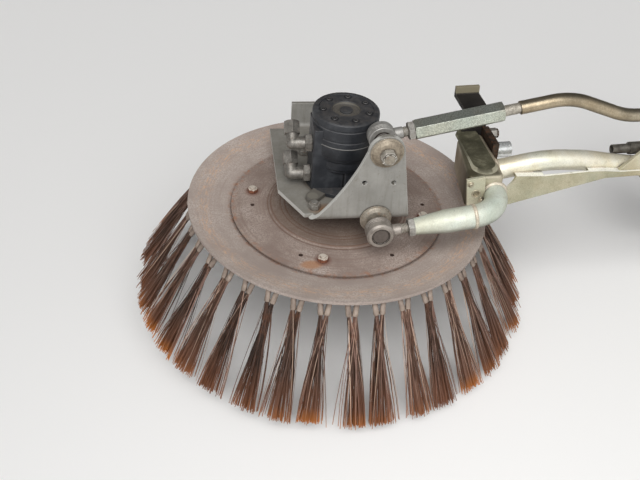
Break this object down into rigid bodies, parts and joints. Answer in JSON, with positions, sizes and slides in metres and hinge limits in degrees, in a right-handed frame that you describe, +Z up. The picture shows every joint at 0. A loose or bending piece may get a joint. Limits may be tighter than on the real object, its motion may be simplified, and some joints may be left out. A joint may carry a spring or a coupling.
{
  "type": "side broom unit of a compact street sweeper",
  "caption": "Rotary wire side broom with hydraulic motor, on a parallelogram of ball-jointed links that swing and lift from a chassis bracket.",
  "frame": {"origin": "centre of the chassis bracket's bolted face", "axes": "+X to the vehicle's front, +Y inboard out of the bolted face, +Z up"},
  "size_m": [1.2646, 0.8088, 0.5231],
  "materials": {
    "rusty_steel": "worn paint over rusting pressed steel, dusty",
    "bristle_wire": "rust-brown flat steel wire",
    "grey_paint": "satin grey paint, dusty",
    "bare_steel": "plain steel, dull",
    "motor_casting": "painted casting, dark grey",
    "fitting_zinc": "zinc-plated fitting, dusty",
    "yellow_zinc": "yellow-passivated zinc plate",
    "dark_zinc": "zinc plate darkened by dirt and rust",
    "bright_zinc": "bright zinc plate"
  },
  "bodies": {
    "chassis": {"chassis_bracket": "yellow_zinc", "king_pin": "bare_steel"},
    "swing_post": {"swing_post": "yellow_zinc", "arm_pin": "bare_steel", "rod_pin": "bare_steel"},
    "lower_arm": {"arm_bush": "yellow_zinc", "arm_tube": "yellow_zinc", "stiffener": "yellow_zinc", "lift_lug": "yellow_zinc", "stub_tube": "dark_zinc", "stop_plate": "dark_zinc", "stop_bush": "bright_zinc", "box_arm": "yellow_zinc", "lifting_lug": "yellow_zinc", "lug_plate": "yellow_zinc", "front_link": "yellow_zinc", "lower_lock_nut": "yellow_zinc", "lower_ball_housing": "yellow_zinc"},
    "tie_rod": {"rod_eye": "yellow_zinc", "rod_tube": "yellow_zinc", "turnbuckle_thread": "bare_steel", "turnbuckle": "yellow_zinc", "upper_lock_nut": "yellow_zinc", "upper_ball_housing": "yellow_zinc"},
    "head": {"head_bracket": "grey_paint", "stud_boss": "grey_paint", "lower_ball_stud": "bare_steel", "upper_ball_stud": "bare_steel", "upper_stud_nut": "bare_steel", "bearing_flange": "rusty_steel", "mount_bolts": "bare_steel", "motor_body": "motor_casting", "port_block": "motor_casting", "lower_hose_elbow": "fitting_zinc", "upper_hose_elbow": "fitting_zinc"},
    "broom": {"outer_disc": "rusty_steel", "clamp_plate": "rusty_steel", "hub": "rusty_steel", "hub_flange": "rusty_steel", "motor_shaft": "bare_steel", "clamp_nuts": "rusty_steel", "tuft_ring": "rusty_steel", "tuft_ferrules": "rusty_steel", "bristle_tufts": "bristle_wire"}
  },
  "joints": [
    {"name": "arm_swing", "type": "hinge", "parent": "chassis", "child": "swing_post", "pos_m": [0.015, -0.13, 0], "axis": [0, 0, 1], "range_deg": [-8, 25]},
    {"name": "arm_lift", "type": "hinge", "parent": "swing_post", "child": "lower_arm", "pos_m": [-0.065, -0.13, -0.07], "axis": [0, 1, 0], "range_deg": [-8, 10]},
    {"name": "tie_rod_lift", "type": "hinge", "parent": "swing_post", "child": "tie_rod", "pos_m": [-0.053, -0.155, 0.075], "axis": [0, 1, 0], "range_deg": [-8, 10]},
    {"name": "head_level", "type": "hinge", "parent": "lower_arm", "child": "head", "pos_m": [-0.711, -0.239, -0.085], "axis": [0, 1, 0], "range_deg": [-10, 8]},
    {"name": "broom_spin", "type": "hinge", "parent": "head", "child": "broom", "pos_m": [-0.76, -0.072, -0.12], "axis": [0.0523, -0.0523, 0.9973], "continuous": true}
  ],
  "couplings": [
    {"joint": "tie_rod_lift", "follows": "arm_lift", "ratio": 1},
    {"joint": "head_level", "follows": "arm_lift", "ratio": -1}
  ]
}
